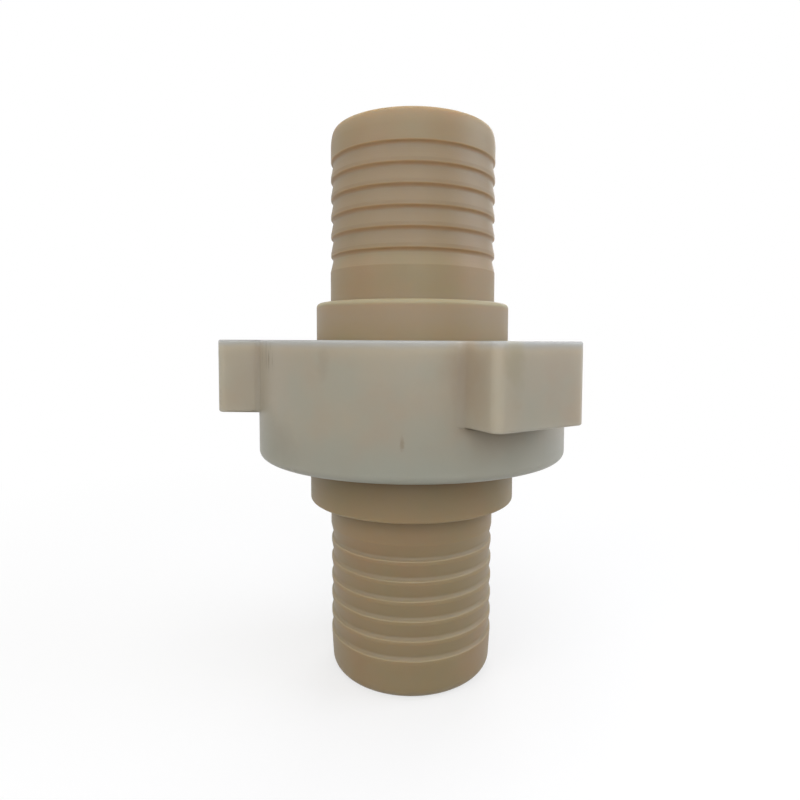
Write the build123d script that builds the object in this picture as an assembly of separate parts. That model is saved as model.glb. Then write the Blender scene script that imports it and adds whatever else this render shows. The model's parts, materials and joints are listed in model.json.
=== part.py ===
from build123d import *
import math
import os

# Hammer union of nylon: two subs with hose tails, drawn together by a nut with three lugs.
# The union stands on its lower tail. Origin: centre of that tail's end face, +Z up.
# Every size is in millimetres and every angle in degrees.

# Hose tails, alike on both subs
bore_r = 40.0
shank_r = 51.3
barb_crest_r = 51.0
barb_depth = 1.5
barb_land = 2.2
barb_step = 0.6
barb_pitch = 11.5
barb_count = 6

# Threaded sub, the lower one
threaded_tail_length = 106.5
threaded_first_barb = 25.5
threaded_end_r = 50.1
threaded_end_round = (6.7, 6.7)
threaded_collar_r = 63.9
threaded_collar_length = 30.5
threaded_collar_edge = 1.6
head_length = 37.5
head_wall = 14.0
seat_mouth_r = 62.0
seat_angle = 45.0

# Right-hand trapezoidal thread between the threaded sub and the nut
thread_pitch = 10.0
thread_depth = 4.0
thread_flank_angle = 15.0
thread_side_gap = 0.5
thread_top_gap = 0.5
thread_lead = 4.5
groove_overrun = 2.0

# Nose sub, the upper one
nose_tail_length = 104.0
nose_first_barb = 28.5
nose_end_r = 51.0
nose_end_round = (2.4, 9.4)
nose_collar_r = 60.0
nose_collar_reach = 22.5
nose_collar_edge = 2.6
flange_thickness = 13.0
flange_edge = 1.0
flange_gap = 1.5
flange_side_gap = 2.0
nose_tip_r = 43.0
seat_contact_r = 51.0
seat_gap = 0.3

# Seal ring in the nose
seal_section_r = 3.5
seal_side_gap = 0.3
seal_seat_gap = 0.2

# Wing nut
nut_wall = 18.0
nut_height = 70.0
nut_foot_round = 4.8
nut_edge = 1.2
ledge_thickness = 16.0
ledge_gap = 1.0
ledge_edge = 1.5
relief_depth = 0.6
lug_count = 3
lug_first_angle = 180.0
lug_length = 20.0
lug_width = 59.0
lug_height = 42.0
lug_corner = 5.0

# Radii from the seat out: the head's thread, the nut around it and the flange that passes its thread
thread_crest_r = seat_mouth_r + head_wall
thread_root_r = thread_crest_r - thread_depth
nut_crest_r = thread_root_r + thread_top_gap
nut_root_r = thread_crest_r + thread_top_gap
nut_r = nut_root_r + nut_wall
lug_reach = nut_r + lug_length
flange_r = nut_crest_r - flange_side_gap

# Heights along the axis, from the lower end face up
threaded_shoulder_z = threaded_tail_length
head_base_z = threaded_shoulder_z + threaded_collar_length
head_top_z = head_base_z + head_length
flange_base_z = head_top_z + flange_gap
flange_top_z = flange_base_z + flange_thickness
nut_top_z = flange_top_z + ledge_thickness
nut_base_z = nut_top_z - nut_height
nose_shoulder_z = nut_top_z + nose_collar_reach

# The nose is a ball about this centre on the axis, and it seats in the cone of the threaded sub
seat_tan = math.tan(math.radians(seat_angle))
seat_cos = math.cos(math.radians(seat_angle))
seat_sin = math.sin(math.radians(seat_angle))
seat_contact_z = head_top_z - (seat_mouth_r - seat_contact_r) / seat_tan
ball_centre_z = seat_contact_z + seat_contact_r * seat_tan
ball_r = seat_contact_r / seat_cos - seat_gap
# Distance from the ball's centre to the middle of the seal ring's section
seal_reach = seat_contact_r / seat_cos - seal_seat_gap - seal_section_r


def turned(*outline):
    """A solid turned about the axis from a closed outline of radius and height."""
    return revolve(Plane.XZ * make_face(Curve() + list(outline)), Axis.Z)


def hose_tail(length, first_barb, end_r, end_round):
    """A hose tail that rises from its collar at height 0, bored through.

    Each barb steps out sharply on its collar side and falls away towards the free end.
    """
    barb_root_r = barb_crest_r - barb_depth
    end_width, end_height = end_round
    side = [(bore_r, 0), (shank_r, 0), (shank_r, first_barb - barb_pitch + barb_land)]
    for barb in range(barb_count):
        step_z = first_barb + barb * barb_pitch
        side += [
            (barb_root_r, step_z - barb_step),
            (barb_crest_r, step_z),
            (barb_crest_r, step_z + barb_land),
        ]
    side.append((end_r, length - end_height))
    rounding = EllipticalCenterArc(
        (end_r - end_width, length - end_height), end_width, end_height, 0, arc_size=90
    )
    end_face = [(end_r - end_width, length), (bore_r, length), (bore_r, 0)]
    return turned(Polyline(*side), rounding, Polyline(*end_face))


def thread_groove(root_r, crest_r, centre_z, low_z, high_z):
    """Cutters for a right-hand groove, one for each turn, that run out past both ends of its thread.

    Their flanks open from the root to the groove's mouth, which lies beyond the crest.
    """
    pitch_r = (thread_crest_r + nut_crest_r) / 2
    outward = math.copysign(1, crest_r - root_r)
    mouth_r = crest_r + outward * groove_overrun
    opening = outward * 2 * math.tan(math.radians(thread_flank_angle))
    pitch_width = thread_pitch / 2 + thread_side_gap
    root_width = pitch_width + opening * (root_r - pitch_r)
    mouth_width = pitch_width + opening * (mouth_r - pitch_r)
    turns_below = math.ceil((centre_z - low_z + mouth_width / 2) / thread_pitch)
    turns_above = math.ceil((high_z - centre_z + mouth_width / 2) / thread_pitch)
    start_z = centre_z - turns_below * thread_pitch
    section = Polyline(
        (root_r, start_z - root_width / 2),
        (mouth_r, start_z - mouth_width / 2),
        (mouth_r, start_z + mouth_width / 2),
        (root_r, start_z + root_width / 2),
        close=True,
    )
    path = Helix(thread_pitch, thread_pitch, root_r, center=(0, 0, start_z))
    turn = sweep(Plane.XZ * make_face(section), path, is_frenet=True)
    return [Pos(0, 0, number * thread_pitch) * turn for number in range(turns_below + turns_above)]


def threaded_head():
    """Collar and threaded head of the lower sub, with the seat's cone. The head's base is at height 0."""
    edge = threaded_collar_edge
    shoulder_z = -threaded_collar_length
    head_end_r = thread_crest_r - thread_lead
    body = turned(
        Line((bore_r, shoulder_z), (threaded_collar_r - edge, shoulder_z)),
        CenterArc((threaded_collar_r - edge, shoulder_z + edge), edge, 270, 90),
        Polyline(
            (threaded_collar_r, shoulder_z + edge),
            (threaded_collar_r, 0),
            (head_end_r, 0),
            (thread_crest_r, thread_lead),
            (thread_crest_r, head_length - thread_lead),
            (head_end_r, head_length),
            (seat_mouth_r, head_length),
            (bore_r, head_length - (seat_mouth_r - bore_r) / seat_tan),
            (bore_r, shoulder_z),
        ),
    )
    return body - thread_groove(thread_root_r, thread_crest_r, 0, 0, head_length)


def threaded_sub():
    """Lower sub: hose tail, collar, threaded head and the cone that the nose seats in."""
    tail = hose_tail(threaded_tail_length, threaded_first_barb, threaded_end_r, threaded_end_round)
    tail = Pos(0, 0, threaded_shoulder_z) * Rot(180, 0, 0) * tail
    return tail + Pos(0, 0, head_base_z) * threaded_head()


def seat_point(reach, rise):
    """Radius and height of a point this far from the ball's centre, square to the cone, and up along it."""
    return reach * seat_cos + rise * seat_sin, ball_centre_z - reach * seat_sin + rise * seat_cos


def nose_sub():
    """Upper sub: hose tail, collar, the flange that the nut draws down, and the ball nose."""
    tail = hose_tail(nose_tail_length, nose_first_barb, nose_end_r, nose_end_round)
    tail = Pos(0, 0, nose_shoulder_z) * tail
    tip_z = ball_centre_z - math.sqrt(ball_r**2 - nose_tip_r**2)
    ball_top_r = math.sqrt(ball_r**2 - (ball_centre_z - flange_base_z) ** 2)
    half_groove = seal_section_r + seal_side_gap
    groove_floor = seal_reach - seal_section_r
    groove_mouth = math.sqrt(ball_r**2 - half_groove**2)
    low_lip = seat_point(groove_mouth, -half_groove)
    high_lip = seat_point(groove_mouth, half_groove)
    edge = nose_collar_edge
    body = turned(
        Line((bore_r, tip_z), (nose_tip_r, tip_z)),
        RadiusArc((nose_tip_r, tip_z), low_lip, -ball_r),
        Polyline(
            low_lip,
            seat_point(groove_floor, -half_groove),
            seat_point(groove_floor, half_groove),
            high_lip,
        ),
        RadiusArc(high_lip, (ball_top_r, flange_base_z), -ball_r),
        Polyline(
            (ball_top_r, flange_base_z),
            (flange_r - flange_edge, flange_base_z),
            (flange_r, flange_base_z + flange_edge),
            (flange_r, flange_top_z - flange_edge),
            (flange_r - flange_edge, flange_top_z),
            (nose_collar_r, flange_top_z),
            (nose_collar_r, nose_shoulder_z - edge),
        ),
        CenterArc((nose_collar_r - edge, nose_shoulder_z - edge), edge, 0, 90),
        Polyline(
            (nose_collar_r - edge, nose_shoulder_z),
            (bore_r, nose_shoulder_z),
            (bore_r, tip_z),
        ),
    )
    return tail + body


def seal_ring():
    """Round rubber ring that lies in the nose's groove and faces the cone."""
    return revolve(Plane.XZ * Pos(*seat_point(seal_reach, 0)) * Circle(seal_section_r), Axis.Z)


def lug():
    """One hammer lug along +X, from the axis out to its flat end, with rounded end corners."""
    bar = Pos(lug_reach / 2, 0) * Rectangle(lug_reach, lug_width)
    end_corners = bar.vertices().sort_by(Axis.X)[-2:]
    outline = fillet(end_corners, lug_corner)
    return Pos(0, 0, nut_height - lug_height) * extrude(outline, lug_height)


def nut_blank():
    """Round nut with its hammer lugs flush with its top, before it is bored. Its base is at height 0."""
    blank = Cylinder(nut_r, nut_height, align=(Align.CENTER, Align.CENTER, Align.MIN))
    blank = fillet(blank.edges().sort_by(Axis.Z)[0], nut_foot_round)
    for number in range(lug_count):
        blank += Rot(0, 0, lug_first_angle + number * 360 / lug_count) * lug()
    top_outline = blank.faces().sort_by(Axis.Z)[-1].outer_wire().edges()
    underside_z = nut_height - lug_height
    undersides = blank.faces().filter_by_position(Axis.Z, underside_z, underside_z)
    lug_outlines = undersides.edges().filter_by(
        lambda edge: not (edge.geom_type == GeomType.CIRCLE and abs(edge.radius - nut_r) < 0.01)
    )
    return fillet(top_outline + lug_outlines, nut_edge)


def wing_nut():
    """Nut with hammer lugs, a ledge that bears on the nose sub's flange, and an inside thread."""
    relief_r = nut_root_r + relief_depth
    ledge_r = nose_collar_r + ledge_gap
    thread_end_z = head_top_z - nut_base_z
    ledge_z = nut_height - ledge_thickness
    inside = turned(
        Polyline(
            (0, 0),
            (nut_crest_r + thread_lead, 0),
            (nut_crest_r, thread_lead),
            (nut_crest_r, thread_end_z),
            (relief_r, thread_end_z),
            (relief_r, ledge_z),
            (ledge_r, ledge_z),
            (ledge_r, nut_height - ledge_edge),
            (ledge_r + ledge_edge, nut_height),
            (0, nut_height),
            close=True,
        )
    )
    # The nut's groove holds the other part's ridge, so it runs half a pitch above that groove
    groove_z = head_base_z + thread_pitch / 2 - nut_base_z
    groove = thread_groove(nut_root_r, nut_crest_r, groove_z, 0, thread_end_z)
    return Pos(0, 0, nut_base_z) * (nut_blank() - inside - groove)


nodes = {
    "threaded_sub": threaded_sub(),
    "nose_sub": nose_sub(),
    "seal_ring": seal_ring(),
    "wing_nut": wing_nut(),
}

os.makedirs("parts", exist_ok=True)
for name, solid in nodes.items():
    export_step(solid, f"parts/{name}.step")
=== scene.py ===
import json
import math

import bmesh
import bpy
import numpy as np
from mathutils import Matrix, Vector


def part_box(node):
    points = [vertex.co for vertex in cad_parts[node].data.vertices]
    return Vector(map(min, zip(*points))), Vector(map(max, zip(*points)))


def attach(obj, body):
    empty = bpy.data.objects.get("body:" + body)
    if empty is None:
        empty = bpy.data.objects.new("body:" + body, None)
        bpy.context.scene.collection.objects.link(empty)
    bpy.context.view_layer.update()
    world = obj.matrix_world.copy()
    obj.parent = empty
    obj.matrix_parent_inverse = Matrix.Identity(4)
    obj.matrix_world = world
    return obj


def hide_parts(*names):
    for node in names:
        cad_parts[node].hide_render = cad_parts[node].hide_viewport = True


# Hammer union of nylon, in metres, in the frame of its solids: +Z up, the axis of the bore at X = Y = 0.
# The two subs, the seal ring and the wing nut are modelled again with their fine edges, barbs and threads.

MM = 0.001
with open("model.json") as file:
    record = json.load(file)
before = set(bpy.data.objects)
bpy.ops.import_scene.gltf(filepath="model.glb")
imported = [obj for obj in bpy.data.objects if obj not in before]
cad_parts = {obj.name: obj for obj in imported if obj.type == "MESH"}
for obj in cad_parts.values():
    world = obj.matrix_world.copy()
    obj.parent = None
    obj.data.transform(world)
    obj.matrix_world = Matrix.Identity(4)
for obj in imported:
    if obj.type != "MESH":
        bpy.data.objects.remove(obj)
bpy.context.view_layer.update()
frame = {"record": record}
mounts = {mount["name"]: mount for mount in frame["record"]["mounts"]}
threaded_low, threaded_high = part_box("threaded_sub")
nose_low, nose_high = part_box("nose_sub")
ring_low, ring_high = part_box("seal_ring")
nut_low, nut_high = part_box("wing_nut")

# Columns of faces around every turned surface, and steps along a rounded edge
columns = 288
edge_steps = 4
weld_distance = 2e-6
straight_half_angle = math.radians(89.9)

# Hose tails
bore_r = mounts["lower_bore"]["dims"]["r_mm"] * MM
shank_r = mounts["lower_hose_tail"]["dims"]["r_mm"] * MM
barb_crest_r = 51.0 * MM
barb_depth = 1.5 * MM
barb_land = 2.2 * MM
barb_step = 1.5 * MM
barb_pitch = 11.5 * MM
barb_count = 6
barb_crest_round = 0.9 * MM
barb_root_round = 2.2 * MM
barb_root_r = barb_crest_r - barb_depth
barb_step_middle_r = barb_crest_r - barb_depth / 2
bore_edge = 0.8 * MM
end_round_steps = 12
spin_r = 1.0

# Threaded sub
lower_end_z = threaded_low.z
head_top_z = threaded_high.z
threaded_shoulder_z = 106.5 * MM
head_base_z = 137.0 * MM
threaded_first_barb = 25.5 * MM
threaded_end_r = 50.1 * MM
threaded_end_round = (6.7 * MM, 6.7 * MM)
threaded_collar_r = 63.9 * MM
threaded_collar_edge = 1.6 * MM
seat_mouth_r = 62.0 * MM
seat_edge = 0.6 * MM
shoulder_root_round = 0.6 * MM

# Thread
thread_pitch = 10.0 * MM
thread_crest_r = threaded_high.x
thread_depth = 4.0 * MM
thread_flank_tan = math.tan(math.radians(15.0))
thread_side_gap = 0.5 * MM
thread_top_gap = 0.5 * MM
thread_lead = 4.5 * MM
thread_rows = 24
thread_root_r = thread_crest_r - thread_depth
nut_crest_r = thread_root_r + thread_top_gap
nut_root_r = thread_crest_r + thread_top_gap

# Nose sub
top_z = nose_high.z
flange_r = nose_high.x
nose_tip_z = nose_low.z
nose_shoulder_z = 227.5 * MM
nose_first_barb = 28.5 * MM
nose_end_r = 51.0 * MM
nose_end_round = (2.4 * MM, 9.4 * MM)
nose_collar_r = 60.0 * MM
nose_collar_edge = 2.6 * MM
flange_base_z = 176.0 * MM
flange_top_z = 189.0 * MM
flange_edge = 1.0 * MM
nose_tip_r = 43.0 * MM
ball_centre_z = 214.5 * MM

# Seal ring, whose section lies on the line square to the seat's cone through the ball's centre
seal_section_r = (ring_high.z - ring_low.z) / 2
seal_middle_z = (ring_high.z + ring_low.z) / 2
seal_middle_r = ring_high.x - seal_section_r
seal_groove_half = 3.8 * MM
seal_lip_round = 0.4 * MM
seal_steps = 40
ball_r = math.hypot(nose_tip_r, ball_centre_z - nose_tip_z)
ball_steps = 10

# Wing nut
nut_top_z = nut_high.z
nut_base_z = nut_low.z
lug_reach = -nut_low.x
lug_count = 3
first_lug_angle = math.radians(60.0)
nut_r = 94.5 * MM
nut_foot_round = 4.8 * MM
foot_steps = 10
nut_edge = 1.2 * MM
ledge_r = 61.0 * MM
ledge_edge = 1.5 * MM
relief_r = 77.1 * MM
lug_height = 42.0 * MM
lug_half_width = 29.5 * MM
lug_corner = 5.0 * MM
lug_root_round = 5.0 * MM
lug_under_round = 1.0 * MM
lug_end_steps = 7
lug_corner_steps = 8
lug_side_steps = 5
lug_root_steps = 8

# Finish of the nylon, and the painted light in the barbs' roots: strongest in its core and gone at its reach
nylon_ior = 1.53
mark_depth = 0.2 * MM
root_light_middle = 0.9 * MM
root_light_core = 0.3 * MM
root_light_reach = 1.9 * MM
root_light_share = 0.6

# Floor, which fades into the white surroundings away from the union, and lamps
white = (1.0, 1.0, 1.0, 1.0)
floor_colour = (0.95, 0.95, 0.95, 1.0)
floor_bounce = (0.35, 0.35, 0.35, 1.0)
floor_half = 6.0
fade_start = 0.1
fade_end = 0.7
fade_least = 0.65
world_strength = 0.45
lamp_size = 0.9
window_colour = (0.93, 0.99, 1.15)

# Camera fitted to the photograph's outline
picture_pixels = 800
focal_pixels = 571.8
sensor_width = 36.0
camera_reach = 364.7 * MM
camera_direction = -93.1
camera_pitch = 3.15
camera_roll = -0.28
shift_x = -0.0154
shift_y = -0.035


class Nodes:
    """Adds nodes to a tree and feeds their inputs, each with a plain value or another node's output."""

    def __init__(self, tree):
        self.tree = tree

    def add(self, kind, inputs=(), **settings):
        node = self.tree.nodes.new(kind)
        for name, value in settings.items():
            setattr(node, name, value)
        self.feed(node, inputs)
        return node

    def feed(self, node, inputs):
        for name, value in dict(inputs).items():
            if isinstance(value, bpy.types.NodeSocket):
                self.tree.links.new(value, node.inputs[name])
            else:
                node.inputs[name].default_value = value

    def math(self, operation, *values, clamp=False):
        node = self.add("ShaderNodeMath", enumerate(values), operation=operation, use_clamp=clamp)
        return node.outputs[0]

    def socket(self, name, kind, direction="INPUT"):
        self.tree.interface.new_socket(name=name, in_out=direction, socket_type="NodeSocket" + kind)


def geometry_tree(name, sizes):
    """A geometry tree with a named input for each size, a material input, and its builder."""
    tree = bpy.data.node_groups.new(name, "GeometryNodeTree")
    nodes = Nodes(tree)
    for size, kind in sizes.items():
        nodes.socket(size, kind)
    nodes.socket("Material", "Material")
    nodes.socket("Geometry", "Geometry", "OUTPUT")
    return tree, nodes


def finish_tree(nodes, geometry, material):
    """Ends a geometry tree: welded, realised and with its material."""
    welded = nodes.add("GeometryNodeMergeByDistance", {"Geometry": geometry, "Distance": weld_distance})
    real = nodes.add("GeometryNodeRealizeInstances", {"Geometry": welded.outputs[0]})
    dressed = nodes.add("GeometryNodeSetMaterial", {"Geometry": real.outputs[0], "Material": material})
    nodes.add("NodeGroupOutput", {"Geometry": dressed.outputs[0]})


def barb_tree():
    """Barbs one above the other: one outline spun round the axis and repeated along it."""
    sizes = {"Barb Outline": "Object", "Columns": "Int", "Barb Count": "Int", "Barb Pitch": "Float"}
    tree, nodes = geometry_tree("barbs", sizes)
    given = nodes.add("NodeGroupInput").outputs
    outline = nodes.add("GeometryNodeObjectInfo", {"Object": given["Barb Outline"]})
    profile = nodes.add("GeometryNodeMeshToCurve", {"Mesh": outline.outputs["Geometry"]})
    circle = nodes.add("GeometryNodeCurvePrimitiveCircle", {"Resolution": given["Columns"], "Radius": spin_r})
    barb = nodes.add(
        "GeometryNodeCurveToMesh",
        {"Curve": circle.outputs["Curve"], "Profile Curve": profile.outputs["Curve"]},
    )
    spacing = nodes.add("ShaderNodeCombineXYZ", {"Z": given["Barb Pitch"]})
    stack = nodes.add(
        "GeometryNodeMeshLine", {"Count": given["Barb Count"], "Offset": spacing.outputs[0]}
    )
    barbs = nodes.add(
        "GeometryNodeInstanceOnPoints",
        {"Points": stack.outputs["Mesh"], "Instance": barb.outputs["Mesh"]},
    )
    real = nodes.add("GeometryNodeRealizeInstances", {"Geometry": barbs.outputs[0]})
    finish_tree(nodes, real.outputs[0], given["Material"])
    return tree


def thread_tree():
    """Threaded wall: its rows follow the helix, and stop at both ends in a level circle.

    Radii are taken times the side, 1 for an outside and -1 for an inside thread, so that a ridge is
    the higher value on both. The leads cut the ridges down towards the ends.
    """
    lengths = ("Pitch", "Length", "Base Height", "Groove Height", "Root Radius", "Crest Radius")
    lengths += ("Root Width", "Crest Width", "Low Lead", "High Lead", "End Radius")
    sizes = {"Columns": "Int", "Rows per Pitch": "Int", "Side": "Float"}
    sizes |= {length: "Float" for length in lengths}
    tree, nodes = geometry_tree("thread", sizes)
    given = nodes.add("NodeGroupInput").outputs
    turns = nodes.math("ADD", nodes.math("DIVIDE", given["Length"], given["Pitch"]), 1.0)
    rows = nodes.math("ADD", nodes.math("CEIL", nodes.math("MULTIPLY", turns, given["Rows per Pitch"])), 1.0)
    edges = nodes.math("ADD", given["Columns"], 1.0)
    grid = nodes.add("GeometryNodeMeshGrid", {"Vertices X": edges, "Vertices Y": rows})
    index = nodes.add("GeometryNodeInputIndex").outputs[0]
    column = nodes.math("FLOOR", nodes.math("DIVIDE", nodes.math("ADD", index, 0.5), rows))
    row = nodes.math("SUBTRACT", index, nodes.math("MULTIPLY", column, rows))
    turn = nodes.math("DIVIDE", column, given["Columns"])
    rise = nodes.math("MULTIPLY", turn, given["Pitch"])

    pitches = nodes.math("SUBTRACT", nodes.math("DIVIDE", row, given["Rows per Pitch"]), 1.0)
    along_helix = nodes.math("ADD", nodes.math("MULTIPLY", pitches, given["Pitch"]), rise)
    height = nodes.math("MINIMUM", nodes.math("MAXIMUM", along_helix, 0.0), given["Length"])
    from_groove = nodes.math("SUBTRACT", height, nodes.math("ADD", given["Groove Height"], rise))
    half_pitch = nodes.math("MULTIPLY", given["Pitch"], 0.5)
    beside = nodes.math("WRAP", from_groove, half_pitch, nodes.math("MULTIPLY", half_pitch, -1.0))
    beside = nodes.math("ABSOLUTE", beside)

    root_half = nodes.math("MULTIPLY", given["Root Width"], 0.5)
    crest_half = nodes.math("MULTIPLY", given["Crest Width"], 0.5)
    flank = nodes.math(
        "DIVIDE",
        nodes.math("SUBTRACT", beside, root_half),
        nodes.math("SUBTRACT", crest_half, root_half),
        clamp=True,
    )
    root = nodes.math("MULTIPLY", given["Root Radius"], given["Side"])
    crest = nodes.math("MULTIPLY", given["Crest Radius"], given["Side"])
    ridge = nodes.math("ADD", root, nodes.math("MULTIPLY", flank, nodes.math("SUBTRACT", crest, root)))
    low_cone = nodes.math("ADD", nodes.math("SUBTRACT", crest, given["Low Lead"]), height)
    left = nodes.math("SUBTRACT", given["Length"], height)
    high_cone = nodes.math("ADD", nodes.math("SUBTRACT", crest, given["High Lead"]), left)
    ridge = nodes.math("MINIMUM", nodes.math("MINIMUM", ridge, low_cone), high_cone)
    radius = nodes.math("MULTIPLY", ridge, given["Side"])

    last = nodes.math("GREATER_THAN", row, nodes.math("SUBTRACT", rows, 1.5))
    widening = nodes.math("MULTIPLY", last, nodes.math("SUBTRACT", given["End Radius"], radius))
    radius = nodes.math("ADD", radius, widening)
    angle = nodes.math("MULTIPLY", turn, 2 * math.pi)
    place = nodes.add(
        "ShaderNodeCombineXYZ",
        {
            "X": nodes.math("MULTIPLY", radius, nodes.math("COSINE", angle)),
            "Y": nodes.math("MULTIPLY", radius, nodes.math("SINE", angle)),
            "Z": nodes.math("ADD", height, given["Base Height"]),
        },
    )
    inputs = {"Geometry": grid.outputs["Mesh"], "Position": place.outputs[0]}
    wall = nodes.add("GeometryNodeSetPosition", inputs)
    finish_tree(nodes, wall.outputs[0], given["Material"])
    return tree


def grown(tree, sizes):
    """The plain mesh that a geometry tree gives with these sizes."""
    holder = bpy.data.objects.new("holder", bpy.data.meshes.new("holder"))
    bpy.context.scene.collection.objects.link(holder)
    modifier = holder.modifiers.new("grown", "NODES")
    modifier.node_group = tree
    sockets = {item.name: item.identifier for item in tree.interface.items_tree if item.in_out == "INPUT"}
    for name, value in sizes.items():
        modifier[sockets[name]] = value
    holder.update_tag()
    evaluated = holder.evaluated_get(bpy.context.evaluated_depsgraph_get())
    mesh = bpy.data.meshes.new_from_object(evaluated)
    bpy.data.objects.remove(holder)
    return mesh


def rounded(corners):
    """Points of an outline through corners of radius, height and, if rounded, the rounding's radius."""
    points = []
    for number, corner in enumerate(corners):
        here = np.array(corner[:2])
        if len(corner) == 2:
            points.append(here)
            continue
        back = np.array(corners[number - 1][:2]) - here
        ahead = np.array(corners[number + 1][:2]) - here
        back /= np.linalg.norm(back)
        ahead /= np.linalg.norm(ahead)
        half_angle = math.acos(np.clip(back @ ahead, -1, 1)) / 2
        if half_angle > straight_half_angle:
            points.append(here)
            continue
        middle = (back + ahead) / np.linalg.norm(back + ahead)
        centre = here + middle * corner[2] / math.sin(half_angle)
        reach = corner[2] / math.tan(half_angle)
        start = here + back * reach - centre
        end = here + ahead * reach - centre
        sweep = math.pi - 2 * half_angle
        for step in range(edge_steps + 1):
            share = step / edge_steps
            spoke = start * math.sin((1 - share) * sweep) + end * math.sin(share * sweep)
            points.append(centre + spoke / math.sin(sweep))
    return points


def arc(centre, radius, first_angle, last_angle, steps, stretch=1.0):
    """Points along an arc, stretched in height where the rounding is oval. Angles are in degrees."""
    angles = np.radians(np.linspace(first_angle, last_angle, steps + 1))
    return [
        (centre[0] + radius * math.cos(angle), centre[1] + radius * stretch * math.sin(angle))
        for angle in angles
    ]


def turned(outline):
    """Rings of points for an outline of radius and height turned about the axis."""
    angles = np.linspace(0, 2 * math.pi, columns, endpoint=False)
    radius, height = np.array([tuple(point) for point in outline]).T
    rings = np.empty((len(radius), columns, 3))
    rings[..., 0] = radius[:, None] * np.cos(angles)
    rings[..., 1] = radius[:, None] * np.sin(angles)
    rings[..., 2] = height[:, None]
    return rings


def skin(rings, closed=False):
    """Mesh of the faces between rings of points, which are joined end to end if closed."""
    count, around = rings.shape[:2]
    ring, column = np.meshgrid(np.arange(count if closed else count - 1), np.arange(around), indexing="ij")
    next_ring = (ring + 1) % count
    next_column = (column + 1) % around
    corners = [ring * around + column, ring * around + next_column]
    corners += [next_ring * around + next_column, next_ring * around + column]
    faces = np.stack(corners, axis=-1).reshape(-1, 4)
    mesh = bpy.data.meshes.new("skin")
    mesh.from_pydata(rings.reshape(-1, 3).tolist(), [], faces.tolist())
    return mesh


def piece(name, meshes, material, body, node, smooth_angle=40.0):
    """One closed piece welded from its meshes, riding on its body in the place of its node."""
    work = bmesh.new()
    for mesh in meshes:
        work.from_mesh(mesh)
        bpy.data.meshes.remove(mesh)
    bmesh.ops.remove_doubles(work, verts=work.verts, dist=weld_distance)
    bmesh.ops.recalc_face_normals(work, faces=work.faces)
    for face in work.faces:
        face.smooth = True
        face.material_index = 0
    mesh = bpy.data.meshes.new(name)
    work.to_mesh(mesh)
    work.free()
    mesh.materials.clear()
    mesh.materials.append(material)
    mesh.set_sharp_from_angle(angle=math.radians(smooth_angle))
    made = bpy.data.objects.new(name, mesh)
    bpy.context.scene.collection.objects.link(made)
    weighted = made.modifiers.new("flat_faces_lead", "WEIGHTED_NORMAL")
    weighted.keep_sharp = True
    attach(made, body)
    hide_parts(node)
    return made


def barb_outline():
    """Line mesh of one barb as the tree spins it: across is its radius less spin_r, and down is height."""
    corners = [
        (barb_step_middle_r, -barb_step / 2),
        (barb_crest_r, 0.0, barb_crest_round),
        (barb_crest_r, barb_land, barb_crest_round),
        (barb_root_r, barb_pitch - barb_step, barb_root_round),
        (barb_step_middle_r, barb_pitch - barb_step / 2),
    ]
    points = [(radius - spin_r, -height, 0.0) for radius, height in rounded(corners)]
    mesh = bpy.data.meshes.new("barb_outline")
    mesh.from_pydata(points, [(number, number + 1) for number in range(len(points) - 1)], [])
    return bpy.data.objects.new("barb_outline", mesh)


def hose_tail(shoulder, direction, first_barb, end_z, end_r, end_round, material):
    """Start, barbs and end of a tail that leaves its collar up (direction 1) or down (-1).

    The start is an outline from a point on the shoulder to the first barb's step. The end runs from the
    last barb's step over the rounded end to the bore.
    """
    shoulder_z = shoulder[1]
    length = abs(end_z - shoulder_z)
    run_out = first_barb - barb_pitch + barb_land
    start = [
        (shoulder[0], 0.0),
        (shank_r, 0.0, shoulder_root_round),
        (shank_r, run_out, barb_crest_round),
        (barb_root_r, first_barb - barb_step, barb_root_round),
        (barb_step_middle_r, first_barb - barb_step / 2),
    ]
    width, height = end_round
    last_barb = first_barb + (barb_count - 1) * barb_pitch
    side = [
        (barb_step_middle_r, last_barb - barb_step / 2),
        (barb_crest_r, last_barb, barb_crest_round),
        (barb_crest_r, last_barb + barb_land, barb_crest_round),
        (end_r, length - height),
    ]
    rounding = arc((end_r - width, length - height), width, 0, 90, end_round_steps, height / width)
    face = [(end_r - width, length), (bore_r, length, bore_edge), (bore_r, length - barb_pitch)]
    end = rounded(side) + rounding[1:] + rounded(face)[1:]

    sizes = {"Barb Outline": outline_of_barb, "Columns": columns, "Barb Count": barb_count - 1}
    barbs = grown(barbs_of_tail, sizes | {"Barb Pitch": barb_pitch, "Material": material})
    for vertex in barbs.vertices:
        vertex.co.z = shoulder_z + direction * (first_barb + vertex.co.z)
    placed = [
        [(radius, shoulder_z + direction * rise) for radius, rise in outline]
        for outline in (rounded(start), end)
    ]
    return placed[0], barbs, placed[1]


def threaded_wall(side, low_z, groove_z, root_r, crest_r, high_lead, end_r, material):
    """The union's thread from a height up to the top of the head, outside (side 1) or inside (-1)."""
    pitch_r = thread_crest_r - (thread_depth - thread_top_gap) / 2
    groove_widths = [
        thread_pitch / 2 + thread_side_gap + 2 * side * thread_flank_tan * (radius - pitch_r)
        for radius in (root_r, crest_r)
    ]
    sizes = {
        "Columns": columns,
        "Rows per Pitch": thread_rows,
        "Side": side,
        "Pitch": thread_pitch,
        "Length": head_top_z - low_z,
        "Base Height": low_z,
        "Groove Height": groove_z - low_z,
        "Root Radius": root_r,
        "Crest Radius": crest_r,
        "Root Width": groove_widths[0],
        "Crest Width": groove_widths[1],
        "Low Lead": thread_lead,
        "High Lead": high_lead,
        "End Radius": end_r,
        "Material": material,
    }
    return grown(thread_of_union, sizes)


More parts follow.
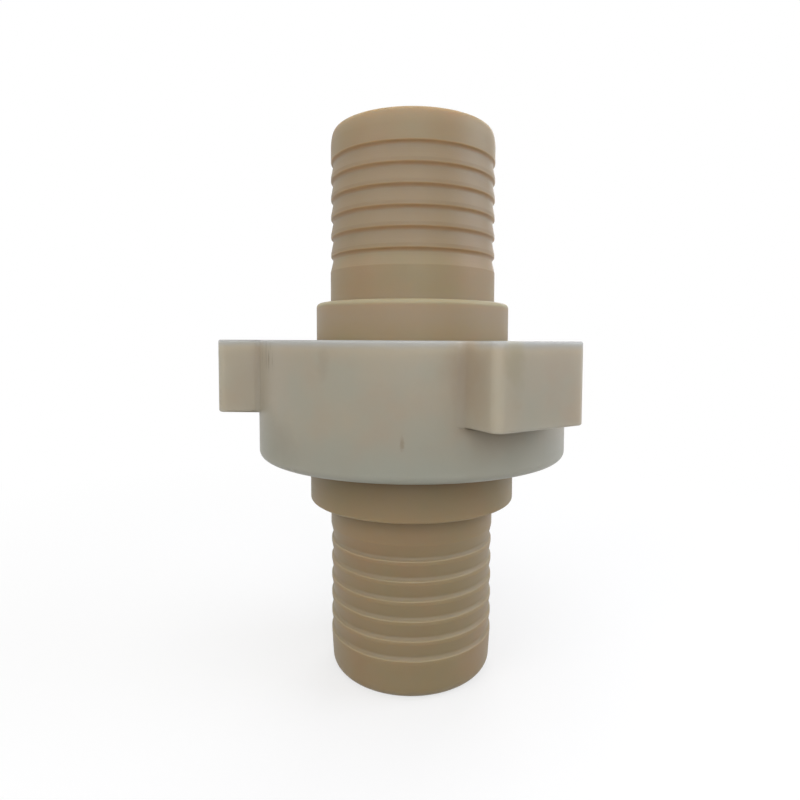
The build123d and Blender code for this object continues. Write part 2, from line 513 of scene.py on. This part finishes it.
def threaded_sub_body(material):
    """Lower sub: barbed tail, collar, threaded head and the cone of the seat."""
    shoulder = ((shank_r + threaded_collar_r) / 2, threaded_shoulder_z)
    start, barbs, end = hose_tail(
        shoulder, -1, threaded_first_barb, lower_end_z, threaded_end_r, threaded_end_round, material
    )
    head_end_r = thread_crest_r - thread_lead
    thread = threaded_wall(
        1.0, head_base_z, head_base_z, thread_root_r, thread_crest_r, thread_lead, head_end_r, material
    )
    collar = rounded(
        [
            (head_end_r, head_base_z),
            (threaded_collar_r, head_base_z, shoulder_root_round),
            (threaded_collar_r, threaded_shoulder_z, threaded_collar_edge),
            shoulder,
        ]
    )
    seat = rounded(
        [
            (bore_r, threaded_shoulder_z),
            (bore_r, head_top_z - (seat_mouth_r - bore_r), seat_edge),
            (seat_mouth_r, head_top_z, seat_edge),
            (head_end_r, head_top_z),
        ]
    )
    meshes = [skin(turned(collar + start[1:])), barbs, skin(turned(end + seat[1:])), thread]
    return piece("threaded_sub_body", meshes, material, "threaded_end", "threaded_sub")


def nose_sub_body(material):
    """Upper sub: barbed tail, collar, flange and the ball nose with the seal's groove."""
    shoulder = ((shank_r + nose_collar_r) / 2, nose_shoulder_z)
    start, barbs, end = hose_tail(
        shoulder, 1, nose_first_barb, top_z, nose_end_r, nose_end_round, material
    )
    ball_centre = np.array([0.0, ball_centre_z])
    seal_middle = np.array([seal_middle_r, seal_middle_z])
    outward = (seal_middle - ball_centre) / np.linalg.norm(seal_middle - ball_centre)
    upward = np.array([-outward[1], outward[0]])
    seal_angle = math.degrees(math.atan2(outward[1], outward[0]))
    lip_angle = math.degrees(math.asin(seal_groove_half / ball_r))
    tip_angle = math.degrees(math.atan2(nose_tip_z - ball_centre_z, nose_tip_r))
    brow_angle = math.degrees(math.asin((flange_base_z - ball_centre_z) / ball_r))
    floor = seal_middle - outward * seal_section_r
    low_ball = arc(ball_centre, ball_r, tip_angle, seal_angle - lip_angle, ball_steps)
    high_ball = arc(ball_centre, ball_r, seal_angle + lip_angle, brow_angle, ball_steps)
    groove = rounded(
        [
            low_ball[-2],
            (*low_ball[-1], seal_lip_round),
            (*(floor - upward * seal_groove_half), seal_lip_round),
            (*(floor + upward * seal_groove_half), seal_lip_round),
            (*high_ball[0], seal_lip_round),
            high_ball[1],
        ]
    )
    flange = rounded(
        [
            high_ball[-2],
            (*high_ball[-1], shoulder_root_round),
            (flange_r, flange_base_z, flange_edge),
            (flange_r, flange_top_z, flange_edge),
            (nose_collar_r, flange_top_z, shoulder_root_round),
            (nose_collar_r, nose_shoulder_z, nose_collar_edge),
            shoulder,
        ]
    )
    bore_start = rounded([end[-1], (bore_r, nose_tip_z, bore_edge), low_ball[0]])
    outline = end + bore_start[1:] + low_ball[1:-2] + groove + high_ball[2:-2] + flange
    meshes = [skin(turned(outline + start[1:])), barbs]
    return piece("nose_sub_body", meshes, material, "nose_end", "nose_sub")


def seal_ring_body(material):
    """Round rubber ring in the nose's groove."""
    section = arc((seal_middle_r, seal_middle_z), seal_section_r, 0, 360, seal_steps)
    ring = skin(turned(section[:-1]), closed=True)
    return piece("seal_ring_body", [ring], material, "nose_end", "seal_ring")


def half_lug():
    """Outline of the nut's top from a lug's middle round to half way between two lugs, in the lug's frame.

    Each row holds a point, the outward direction there, how far the lug's edges are rounded there
    (0 off the lug) and the point of the nut's round side that lies behind it.
    """
    corner_centre = np.array([lug_reach - lug_corner, lug_half_width - lug_corner])
    root_y = lug_half_width + lug_root_round
    root_centre = np.array([math.sqrt((nut_r + lug_root_round) ** 2 - root_y**2), root_y])
    root_angle = math.atan2(root_centre[1], root_centre[0])
    square = math.pi / 2

    rows = []
    for width in np.linspace(0, corner_centre[1], lug_end_steps + 1)[:-1]:
        rows.append((np.array([lug_reach, width]), np.array([1.0, 0.0]), 1.0))
    for angle in np.linspace(0, square, lug_corner_steps + 1):
        direction = np.array([math.cos(angle), math.sin(angle)])
        rows.append((corner_centre + direction * lug_corner, direction, 1.0))
    for length in np.linspace(corner_centre[0], root_centre[0], lug_side_steps + 1)[1:]:
        rows.append((np.array([length, lug_half_width]), np.array([0.0, 1.0]), 1.0))
    for share in np.linspace(0, 1, lug_root_steps + 1)[1:]:
        angle = square + (root_angle - square) * share
        direction = np.array([math.cos(angle), math.sin(angle)])
        rows.append((root_centre - direction * lug_root_round, direction, 1.0 - share))
    round_steps = columns // (2 * lug_count) - len(rows) + 1
    for angle in np.linspace(root_angle, math.pi / lug_count, round_steps + 1)[1:]:
        direction = np.array([math.cos(angle), math.sin(angle)])
        rows.append((direction * nut_r, direction, 0.0))
    points, directions, rounding = (np.array(part) for part in zip(*rows))
    behind = points.copy()
    on_lug = rounding > 0
    behind[on_lug, 0] = np.sqrt(nut_r**2 - points[on_lug, 1] ** 2)
    return points, directions, rounding, behind


def around_nut(half, side_flips=True):
    """Repeats the rows of a half lug round the whole nut, mirrored on the lugs' other sides."""
    half_columns = columns // (2 * lug_count)
    place = np.arange(columns) % (2 * half_columns) - half_columns
    rows = half[np.abs(place)]
    if not side_flips:
        return rows
    rows = rows.copy()
    rows[:, 1] *= np.where(place < 0, -1, 1)
    lug_angle = first_lug_angle + np.arange(columns) // (2 * half_columns) * 2 * math.pi / lug_count
    cos, sin = np.cos(lug_angle), np.sin(lug_angle)
    return np.stack([rows[:, 0] * cos - rows[:, 1] * sin, rows[:, 0] * sin + rows[:, 1] * cos], axis=1)


def level(points, height):
    """Ring of points at one height, or at a height for each."""
    return np.column_stack([points, np.broadcast_to(height, len(points))])


def wing_nut_body(material):
    """Nut with three hammer lugs, the ledge that bears on the flange, and the inside thread."""
    points, directions, rounding, behind = half_lug()
    points, directions, behind = (around_nut(half) for half in (points, directions, behind))
    rounding = around_nut(rounding, side_flips=False)
    outward = behind / nut_r
    underside_z = nut_top_z - lug_height
    turn = np.linspace(0, math.pi / 2, edge_steps + 1)

    inside = rounded(
        [
            (relief_r, head_top_z),
            (relief_r, flange_top_z, shoulder_root_round),
            (ledge_r, flange_top_z, seat_edge),
            (ledge_r, nut_top_z - ledge_edge, seat_edge / 2),
            (ledge_r + ledge_edge, nut_top_z, seat_edge / 2),
            (ledge_r + 2 * ledge_edge, nut_top_z),
        ]
    )
    rings = list(turned(inside))
    rings.append(level(behind * (1 - nut_edge / nut_r), nut_top_z))
    for angle in turn[::-1]:
        inset = nut_edge * (1 - math.cos(angle))
        rings.append(level(points - directions * inset, nut_top_z - nut_edge * (1 - math.sin(angle))))
    for angle in turn:
        inset = nut_edge * (1 - math.cos(angle)) * rounding
        rings.append(
            level(points - directions * inset[:, None], underside_z + nut_edge * (1 - math.sin(angle)))
        )
    for angle in turn:
        reach = lug_under_round * rounding * (1 - math.sin(angle))
        drop = lug_under_round * rounding * (1 - math.cos(angle))
        rings.append(level(behind + outward * reach[:, None], underside_z - drop))
    for angle in np.linspace(0, math.pi / 2, foot_steps + 1):
        inset = nut_foot_round * (1 - math.cos(angle))
        rings.append(level(outward * (nut_r - inset), nut_base_z + nut_foot_round * (1 - math.sin(angle))))
    rings += list(turned([(nut_crest_r + thread_lead, nut_base_z)]))
    groove_z = head_base_z + thread_pitch / 2
    thread = threaded_wall(-1.0, nut_base_z, groove_z, nut_root_r, nut_crest_r, 0.0, relief_r, material)
    return piece("wing_nut_body", [skin(np.array(rings)), thread], material, "nut", "wing_nut")


def linear(red, green, blue):
    """Colour for a shader from red, green and blue of 0 to 255 as a screen shows them."""
    shares = [value / 255 for value in (red, green, blue)]
    return (*[s / 12.92 if s < 0.04045 else ((s + 0.055) / 1.055) ** 2.4 for s in shares], 1.0)


def shader_group(name, inputs, outputs):
    """A shader node group with named inputs and outputs, and its builder."""
    tree = bpy.data.node_groups.new(name, "ShaderNodeTree")
    nodes = Nodes(tree)
    for socket, kind in inputs.items():
        nodes.socket(socket, kind)
    for socket, kind in outputs.items():
        nodes.socket(socket, kind, "OUTPUT")
    return tree, nodes


def mottle_group():
    """Soft clouds of two tints over a plain colour, as in cast nylon."""
    inputs = {"Vector": "Vector", "Plain": "Color", "Warm": "Color", "Cool": "Color"}
    inputs |= {"Cloud Scale": "Float", "Warm Amount": "Float", "Cool Amount": "Float"}
    tree, nodes = shader_group("mottle", inputs, {"Color": "Color"})
    given = nodes.add("NodeGroupInput").outputs
    tint = given["Plain"]
    for name, offset in (("Warm", 0.0), ("Cool", 0.37)):
        moved = nodes.add(
            "ShaderNodeVectorMath", {0: given["Vector"], 1: (offset, offset, 2 * offset)}, operation="ADD"
        )
        clouds = nodes.add(
            "ShaderNodeTexNoise",
            {"Vector": moved.outputs[0], "Scale": given["Cloud Scale"], "Detail": 3.0, "Roughness": 0.55},
        )
        patches = nodes.add(
            "ShaderNodeMapRange",
            {"Value": clouds.outputs["Fac"], "From Min": 0.42, "From Max": 0.68},
            interpolation_type="SMOOTHSTEP",
        )
        amount = nodes.math("MULTIPLY", patches.outputs["Result"], given[name + " Amount"])
        tint = tinted(nodes, tint, given[name], amount)
    nodes.add("NodeGroupOutput", {"Color": tint})
    return tree


def turned_marks_group():
    """Fine rings that a lathe tool leaves round the axis, uneven and here and there smoothed away."""
    inputs = {"Vector": "Vector", "Ring Scale": "Float", "Grain Scale": "Float", "Grain Share": "Float"}
    tree, nodes = shader_group("turned_marks", inputs, {"Height": "Float"})
    given = nodes.add("NodeGroupInput").outputs
    axes = nodes.add("ShaderNodeSeparateXYZ", {0: given["Vector"]}).outputs
    flat = nodes.add("ShaderNodeCombineXYZ", {"X": axes["X"], "Y": axes["Y"]})
    radius = nodes.add("ShaderNodeVectorMath", {0: flat.outputs[0]}, operation="LENGTH")
    across = nodes.add("ShaderNodeCombineXYZ", {"X": radius.outputs["Value"], "Y": axes["Z"]})
    rings = nodes.add(
        "ShaderNodeTexNoise",
        {"Vector": across.outputs[0], "Scale": given["Ring Scale"], "Detail": 4.0, "Roughness": 0.7},
        noise_dimensions="2D",
    )
    grain = nodes.add(
        "ShaderNodeTexNoise",
        {"Vector": given["Vector"], "Scale": given["Grain Scale"], "Detail": 3.0, "Roughness": 0.6},
    )
    height = nodes.add(
        "ShaderNodeMix", {0: given["Grain Share"], 2: rings.outputs["Fac"], 3: grain.outputs["Fac"]}
    )
    nodes.add("NodeGroupOutput", {"Height": height.outputs[0]})
    return tree


def level_band_group():
    """1 between two heights of the object and 0 beyond them, with soft and uneven borders."""
    inputs = {"Vector": "Vector", "Low": "Float", "High": "Float", "Blur": "Float", "Waver": "Float"}
    tree, nodes = shader_group("level_band", inputs, {"Mask": "Float"})
    given = nodes.add("NodeGroupInput").outputs
    height = nodes.add("ShaderNodeSeparateXYZ", {0: given["Vector"]}).outputs["Z"]
    clouds = nodes.add("ShaderNodeTexNoise", {"Vector": given["Vector"], "Scale": 45.0, "Detail": 3.0})
    waver = nodes.math("MULTIPLY", nodes.math("SUBTRACT", clouds.outputs["Fac"], 0.5), given["Waver"])
    height = nodes.math("ADD", height, waver)
    sides = []
    for border in ("Low", "High"):
        rise = nodes.add(
            "ShaderNodeMapRange",
            {
                "Value": height,
                "From Min": nodes.math("SUBTRACT", given[border], given["Blur"]),
                "From Max": nodes.math("ADD", given[border], given["Blur"]),
            },
            interpolation_type="SMOOTHSTEP",
        )
        sides.append(rise.outputs["Result"])
    nodes.add("NodeGroupOutput", {"Mask": nodes.math("SUBTRACT", sides[0], sides[1], clamp=True)})
    return tree


def new_material(name, kind="ShaderNodeBsdfPrincipled"):
    """A material with its builder, its Object coordinates and the shader that ends it."""
    material = bpy.data.materials.new(name)
    material.use_nodes = True
    material.node_tree.nodes.clear()
    nodes = Nodes(material.node_tree)
    place = nodes.add("ShaderNodeTexCoord").outputs["Object"]
    shader = nodes.add(kind)
    nodes.add("ShaderNodeOutputMaterial", {"Surface": shader.outputs[0]})
    return material, nodes, place, shader


def group_node(nodes, tree, inputs):
    """What a group placed in a material puts out, with the material's own values."""
    return nodes.add("ShaderNodeGroup", inputs, node_tree=tree).outputs[0]


def tinted(nodes, colour, tint, amount):
    """A colour mixed with a tint by an amount that changes over the surface."""
    # The node's sockets for colours are its inputs 6 and 7 and its output 2
    return nodes.add("ShaderNodeMix", {0: amount, 6: colour, 7: tint}, data_type="RGBA").outputs[2]


def clouded(nodes, place, plain, warm, cool, scale, amount):
    """A plain colour with warm and cool clouds."""
    colours = {"Plain": linear(*plain), "Warm": linear(*warm), "Cool": linear(*cool)}
    amounts = {"Cloud Scale": scale, "Warm Amount": amount, "Cool Amount": amount}
    return group_node(nodes, mottle, {"Vector": place} | colours | amounts)


def marked(nodes, place, ring_scale, grain_scale, grain_share):
    """Height of the marks that turning or moulding left."""
    scales = {"Ring Scale": ring_scale, "Grain Scale": grain_scale, "Grain Share": grain_share}
    return group_node(nodes, turned_marks, {"Vector": place} | scales)


def level_tint(nodes, place, colour, tint, share, low, high, blur, waver=0.0):
    """A colour with a share of a tint in the band between two heights."""
    levels = {"Low": low, "High": high, "Blur": blur, "Waver": waver}
    band = group_node(nodes, level_band, {"Vector": place} | levels)
    return tinted(nodes, colour, linear(*tint), nodes.math("MULTIPLY", band, share))


def painted_root_light(nodes, place, colour, tint, first_z, direction):
    """A colour with painted light in the roots of the barbs of the tail that points up (1) or down (-1)."""
    height = nodes.add("ShaderNodeSeparateXYZ", {0: place}).outputs["Z"]
    along = nodes.math("MULTIPLY", nodes.math("SUBTRACT", height, first_z), direction)
    from_root = nodes.math("ADD", along, root_light_middle)
    from_root = nodes.math("WRAP", from_root, barb_pitch / 2, -barb_pitch / 2)
    near = nodes.add(
        "ShaderNodeMapRange",
        {
            "Value": nodes.math("ABSOLUTE", from_root),
            "From Min": root_light_reach,
            "From Max": root_light_core,
        },
        interpolation_type="SMOOTHSTEP",
    )
    begun = nodes.math("GREATER_THAN", along, -barb_pitch / 3)
    left = nodes.math("LESS_THAN", along, (barb_count - 0.5) * barb_pitch)
    roots = nodes.math("MULTIPLY", nodes.math("MULTIPLY", begun, left), near.outputs["Result"])
    return tinted(nodes, colour, linear(*tint), nodes.math("MULTIPLY", roots, root_light_share))


def upright_marks(nodes, place):
    """Fine upright lines that a cutter leaves."""
    narrow = nodes.add("ShaderNodeMapping", {"Vector": place, "Scale": (1.0, 1.0, 0.08)})
    lines = nodes.add("ShaderNodeTexNoise", {"Vector": narrow.outputs[0], "Scale": 800.0, "Detail": 1.0})
    limits = {"From Min": 0.52, "From Max": 0.62}
    marks = nodes.add("ShaderNodeMapRange", {"Value": lines.outputs["Fac"]} | limits)
    return marks.outputs["Result"]


def blemish(nodes, place, colour, tint, share, centre, reach, rise, grain, lined=False):
    """A colour with a tint in a ragged patch, about as wide as its reach and as high as its rise.

    The grain is the scale of its ragged border. A lined patch shows only along upright marks.
    """
    offset = nodes.add("ShaderNodeVectorMath", {0: place, 1: centre}, operation="SUBTRACT")
    sizes = (1 / reach, 1 / reach, 1 / rise)
    shares = nodes.add("ShaderNodeVectorMath", {0: offset.outputs[0], 1: sizes}, operation="MULTIPLY")
    distance = nodes.add("ShaderNodeVectorMath", {0: shares.outputs[0]}, operation="LENGTH")
    clouds = nodes.add("ShaderNodeTexNoise", {"Vector": place, "Scale": grain, "Detail": 3.0})
    ragged = nodes.math("ADD", distance.outputs["Value"], clouds.outputs["Fac"])
    patch = nodes.add(
        "ShaderNodeMapRange",
        {"Value": ragged, "From Min": 1.7, "From Max": 0.7},
        interpolation_type="SMOOTHSTEP",
    )
    amount = patch.outputs["Result"]
    if lined:
        amount = nodes.math("MULTIPLY", amount, upright_marks(nodes, place))
    return tinted(nodes, colour, linear(*tint), nodes.math("MULTIPLY", amount, share))


def tan_nylon():
    """Satin tan nylon, turned, with painted shade under the nut and over the upper barbs, painted light on
    the upper collar and in the barbs' roots, and a painted sheen on the collar's top edge.
    """
    material, nodes, place, shader = new_material("tan_nylon")
    first_upper_z = nose_shoulder_z + nose_first_barb
    last_upper_z = first_upper_z + (barb_count - 1) * barb_pitch
    first_lower_z = threaded_shoulder_z - threaded_first_barb
    tint = clouded(nodes, place, (154, 134, 101), (157, 130, 97), (148, 134, 100), scale=22.0, amount=0.7)
    # Painted shade on the top of the lower collar, where the nut above shades it
    painted_under_nut_shade = (112, 80, 46)
    under_nut_shade_low = head_base_z - 8 * MM
    tint = level_tint(nodes, place, tint, painted_under_nut_shade, 0.8, under_nut_shade_low, head_base_z, blur=5 * MM, waver=2 * MM)
    # Painted light on the upper collar, standing in for light thrown up onto it from the nut's top
    painted_collar_bounce = (159, 140, 113)
    collar_bounce_low = nut_top_z + 8 * MM
    tint = level_tint(nodes, place, tint, painted_collar_bounce, 0.8, collar_bounce_low, nose_shoulder_z, blur=7 * MM)
    # Painted shade over the upper barbs, darkening walls that face up into the light from above
    painted_barb_shade = (144, 124, 96)
    tint = level_tint(nodes, place, tint, painted_barb_shade, 0.7, first_upper_z, last_upper_z, blur=3 * MM)
    # Painted light in the barbs' roots: it lightens the shade under each step of the upper tail and paints a
    # highlight on each shelf of the lower tail
    tint = painted_root_light(nodes, place, tint, (182, 150, 110), first_upper_z, 1)
    tint = painted_root_light(nodes, place, tint, (166, 150, 118), first_lower_z, -1)
    # Painted sheen on the upper collar's top edge, standing in for the reflection of the light from above
    painted_edge_sheen = (150, 145, 117)
    edge_sheen_low = nose_shoulder_z - 3 * MM
    tint = level_tint(nodes, place, tint, painted_edge_sheen, 0.7, edge_sheen_low, nose_shoulder_z, blur=MM, waver=MM)

    marks = marked(nodes, place, ring_scale=900.0, grain_scale=700.0, grain_share=0.4)
    bump = nodes.add("ShaderNodeBump", {"Strength": 0.25, "Distance": mark_depth, "Height": marks})
    gloss = nodes.add("ShaderNodeMapRange", {"Value": marks, "To Min": 0.42, "To Max": 0.58})
    finish = {"Base Color": tint, "Normal": bump.outputs[0], "Roughness": gloss.outputs["Result"]}
    finish |= {"IOR": nylon_ior, "Specular IOR Level": 0.4, "Subsurface Weight": 1.0}
    finish |= {"Subsurface Radius": (1.0, 0.75, 0.5), "Subsurface Scale": 13 * MM}
    nodes.feed(shader, finish)
    return material


def white_nylon():
    """Off-white nylon that light enters a little way, greyer at its foot, with a painted grey reflection
    along its rim and a few marks of use.
    """
    material, nodes, place, shader = new_material("white_nylon")
    tint = clouded(nodes, place, (168, 158, 139), (167, 153, 133), (162, 158, 142), scale=26.0, amount=0.8)
    grey_foot = (153, 156, 145)
    foot_low = nut_base_z - 20 * MM
    foot_high = nut_base_z + 18 * MM
    tint = level_tint(nodes, place, tint, grey_foot, 0.6, foot_low, foot_high, blur=14 * MM, waver=12 * MM)
    # Painted reflection on the nut's top band: a neutral grey that stands in for the cool light from above
    # reflected there
    painted_rim_reflection = (144, 145, 144)
    rim_reflection_low = nut_top_z - 3 * MM
    rim_reflection_high = nut_top_z + 10 * MM
    tint = level_tint(nodes, place, tint, painted_rim_reflection, 0.9, rim_reflection_low, rim_reflection_high, blur=2.5 * MM, waver=2 * MM)

    olive_cloud = (-82.0 * MM, -47.0 * MM, 150.0 * MM)
    stain_by_lug = (22.5 * MM, -97.0 * MM, 190.0 * MM)
    cutter_marks = (-82.0 * MM, -46.5 * MM, 196.5 * MM)
    dirt_spot = (-9.8 * MM, -94.0 * MM, 155.3 * MM)
    smudge_on_side = (-48.3 * MM, -81.2 * MM, 194.5 * MM)
    smudge_on_lug = (40.6 * MM, -108.8 * MM, 196.5 * MM)
    tint = blemish(nodes, place, tint, (132, 127, 104), 0.5, olive_cloud, 32 * MM, 22 * MM, grain=45.0)
    tint = blemish(nodes, place, tint, (164, 147, 124), 0.8, stain_by_lug, 16 * MM, 24 * MM, grain=80.0)
    tint = blemish(
        nodes, place, tint, (105, 90, 66), 0.6, cutter_marks, 11 * MM, 10 * MM, grain=120.0, lined=True
    )
    tint = blemish(nodes, place, tint, (124, 106, 76), 0.4, dirt_spot, 1.3 * MM, 4 * MM, grain=900.0)
    tint = blemish(nodes, place, tint, (138, 124, 98), 0.2, smudge_on_side, 4 * MM, 11 * MM, grain=250.0)
    tint = blemish(nodes, place, tint, (146, 138, 108), 0.4, smudge_on_lug, 7 * MM, 22 * MM, grain=150.0)

    marks = marked(nodes, place, ring_scale=500.0, grain_scale=500.0, grain_share=0.6)
    bump = nodes.add("ShaderNodeBump", {"Strength": 0.15, "Distance": mark_depth, "Height": marks})
    gloss = nodes.add("ShaderNodeMapRange", {"Value": marks, "To Min": 0.36, "To Max": 0.5})
    finish = {"Base Color": tint, "Normal": bump.outputs[0], "Roughness": gloss.outputs["Result"]}
    finish |= {"IOR": nylon_ior, "Specular IOR Level": 0.5, "Subsurface Weight": 1.0}
    finish |= {"Subsurface Radius": (1.0, 1.0, 0.95), "Subsurface Scale": 24 * MM}
    nodes.feed(shader, finish)
    return material


def seal_rubber():
    """Matt black moulded rubber."""
    material, nodes, place, shader = new_material("seal_rubber")
    marks = marked(nodes, place, ring_scale=400.0, grain_scale=1500.0, grain_share=0.8)
    bump = nodes.add("ShaderNodeBump", {"Strength": 0.3, "Distance": mark_depth / 2, "Height": marks})
    dusty = tinted(nodes, linear(28, 28, 29), linear(52, 51, 50), marks)
    nodes.feed(shader, {"Base Color": dusty, "Normal": bump.outputs[0], "Roughness": 0.6})
    return material


def seen_share(nodes):
    """1 for the rays by which a surface is seen, straight, mirrored or through glass, and 0 for others."""
    rays = nodes.add("ShaderNodeLightPath").outputs
    mirrored = nodes.math("MAXIMUM", rays["Is Glossy Ray"], rays["Is Transmission Ray"])
    return nodes.math("MAXIMUM", rays["Is Camera Ray"], mirrored)


def floor():
    """Plain white floor that goes over into the white surroundings."""
    material, nodes, place, shader = new_material("floor_white", "ShaderNodeMixShader")
    from_middle = nodes.add("ShaderNodeVectorMath", {0: place}, operation="LENGTH")
    far = nodes.add(
        "ShaderNodeMapRange",
        {
            "Value": from_middle.outputs["Value"],
            "From Min": fade_start,
            "From Max": fade_end,
            "To Min": fade_least,
            "To Max": 1.0,
        },
        interpolation_type="SMOOTHSTEP",
    )
    seen = seen_share(nodes)
    fade = nodes.math("MULTIPLY", far.outputs["Result"], seen)
    paint = nodes.add("ShaderNodeBsdfDiffuse", {"Color": tinted(nodes, floor_bounce, floor_colour, seen)})
    glow = nodes.add("ShaderNodeEmission", {"Color": white, "Strength": 1.0})
    nodes.feed(shader, {0: fade, 1: paint.outputs[0], 2: glow.outputs[0]})
    corners = [(x * floor_half, y * floor_half, lower_end_z) for x, y in ((-1, -1), (1, -1), (1, 1), (-1, 1))]
    mesh = bpy.data.meshes.new("floor")
    mesh.from_pydata(corners, [], [(0, 1, 2, 3)])
    mesh.materials.append(material)
    made = bpy.data.objects.new("floor", mesh)
    bpy.context.scene.collection.objects.link(made)


def soft_light(name, place, power, colour=(1.0, 1.0, 1.0)):
    """A large square lamp that faces the middle of the union."""
    lamp = bpy.data.lights.new(name, "AREA")
    lamp.size = lamp_size
    lamp.energy = power
    lamp.color = colour
    made = bpy.data.objects.new(name, lamp)
    bpy.context.scene.collection.objects.link(made)
    made.location = place
    middle = Vector((0.0, 0.0, (lower_end_z + top_z) / 2))
    made.rotation_euler = (middle - made.location).to_track_quat("-Z", "Y").to_euler()


def studio():
    """White surroundings, and soft lamps above, behind, in front and at both sides."""
    world = bpy.data.worlds.new("studio")
    bpy.context.scene.world = world
    world.use_nodes = True
    world.node_tree.nodes.clear()
    nodes = Nodes(world.node_tree)
    inputs = {"Value": seen_share(nodes), "To Min": world_strength, "To Max": 1.0}
    strength = nodes.add("ShaderNodeMapRange", inputs)
    sky = nodes.add("ShaderNodeBackground", {"Color": white, "Strength": strength.outputs["Result"]})
    nodes.add("ShaderNodeOutputWorld", {"Surface": sky.outputs[0]})
    soft_light("light_above", place=(0.0, -0.3, 1.4), power=3.9)
    soft_light("light_right", place=(1.3, -0.1, 0.8), power=6.8, colour=window_colour)
    soft_light("light_behind", place=(0.4, 1.3, 0.9), power=6.5)
    soft_light("light_left", place=(-1.0, -0.9, 0.9), power=5.2)
    soft_light("light_front", place=(0.0, -1.4, 0.7), power=8.0)


def photograph_camera():
    """Camera at the photograph's place and angle, level with the nut's top."""
    camera = bpy.data.cameras.new("camera")
    camera.sensor_width = sensor_width
    camera.lens = sensor_width * focal_pixels / picture_pixels
    camera.shift_x = shift_x
    camera.shift_y = shift_y
    made = bpy.data.objects.new("camera", camera)
    bpy.context.scene.collection.objects.link(made)
    direction = math.radians(camera_direction)
    made.location = (camera_reach * math.cos(direction), camera_reach * math.sin(direction), nut_top_z)
    made.rotation_mode = "XYZ"
    made.rotation_euler = (
        math.radians(90.0 - camera_pitch),
        math.radians(camera_roll),
        direction + math.pi / 2,
    )
    bpy.context.scene.camera = made


mottle = mottle_group()
turned_marks = turned_marks_group()
level_band = level_band_group()
barbs_of_tail = barb_tree()
thread_of_union = thread_tree()
outline_of_barb = barb_outline()

tan = tan_nylon()
threaded_sub_body(tan)
nose_sub_body(tan)
seal_ring_body(seal_rubber())
wing_nut_body(white_nylon())
bpy.data.objects.remove(outline_of_barb)

floor()
studio()
photograph_camera()
bpy.context.scene.view_settings.view_transform = "Standard"
